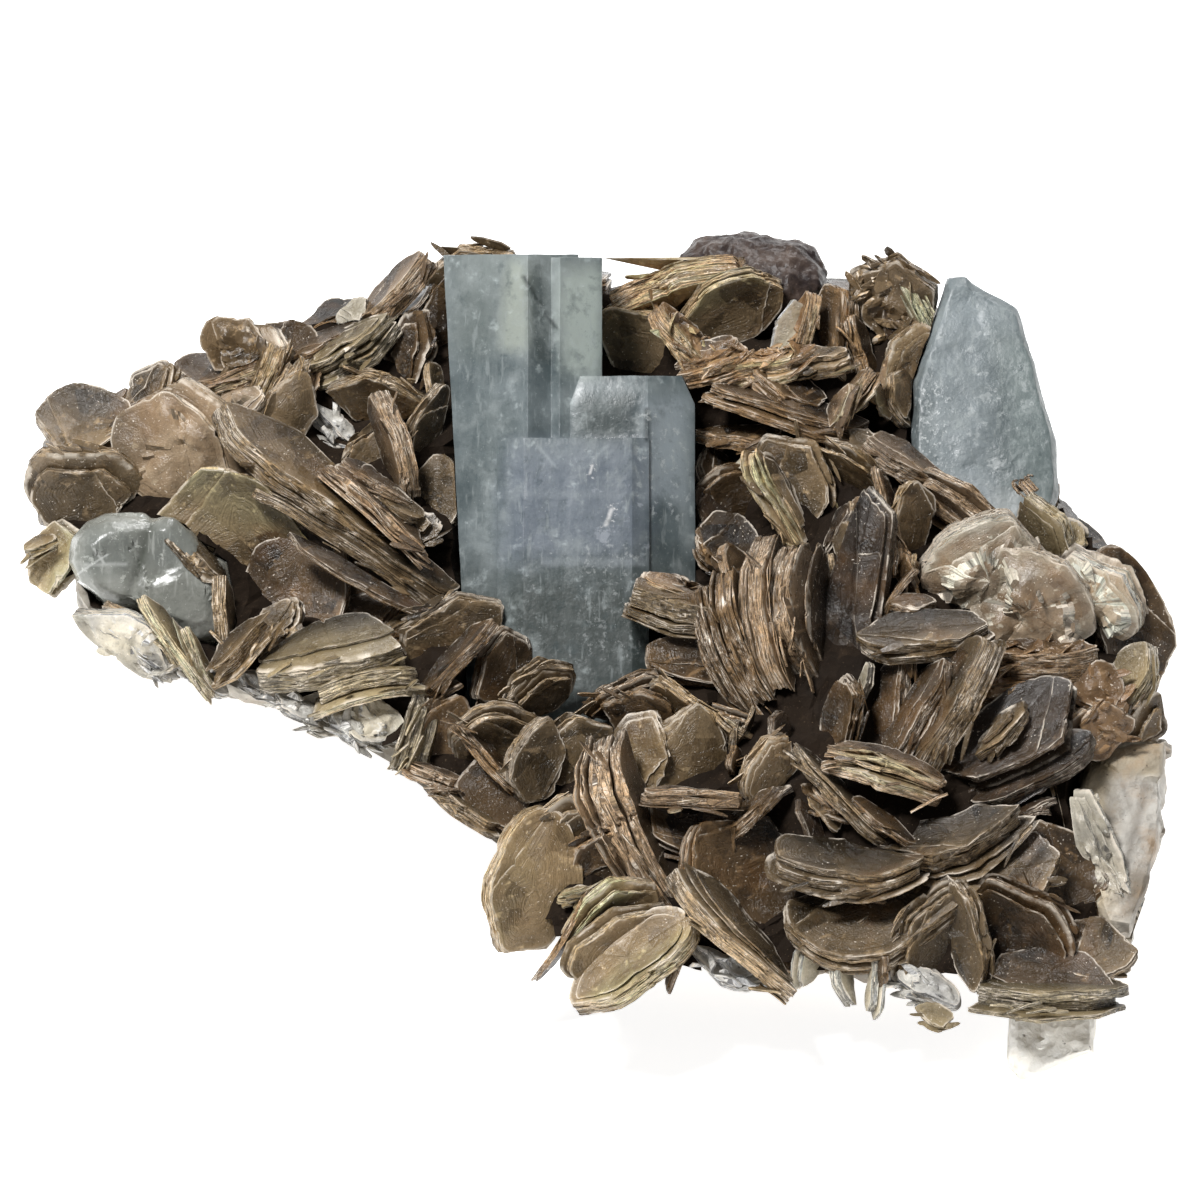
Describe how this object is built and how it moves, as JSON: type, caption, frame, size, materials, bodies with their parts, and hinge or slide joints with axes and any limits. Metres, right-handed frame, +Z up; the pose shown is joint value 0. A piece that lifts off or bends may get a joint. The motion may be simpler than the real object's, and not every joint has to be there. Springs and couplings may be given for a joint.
{
  "type": "mineral specimen",
  "caption": "Pale blue aquamarine crystals standing in a thick crust of brown muscovite mica books, on a wedge of white albite feldspar with a flat cut base",
  "frame": {"origin": "on the flat cut base, under the middle of the specimen, at the height of what it rests on", "axes": "+X along the specimen's long side, +Z up, and the face with the crystals leans back and looks toward -Y and +Z"},
  "size_m": [0.1147, 0.0946, 0.0495],
  "materials": {
    "feldspar": "rough broken feldspar, white to grey, opaque",
    "mica": "pearly brown mica faces with layered, glinting edges, opaque in the book",
    "aquamarine": "pale blue beryl, see-through but full of veils, glassy faces",
    "quartz": "grey lumpy quartz, cloudy, semi-gloss",
    "clear_albite": "white to clear albite, cleaved faces, semi-gloss"
  },
  "bodies": {
    "root": {"albite_matrix": "feldspar", "muscovite": "mica", "aquamarine_main": "aquamarine", "aquamarine_right": "aquamarine", "aquamarine_left": "aquamarine", "quartz_knob": "quartz", "albite_block": "clear_albite", "albite_tip": "clear_albite"}
  },
  "joints": []
}
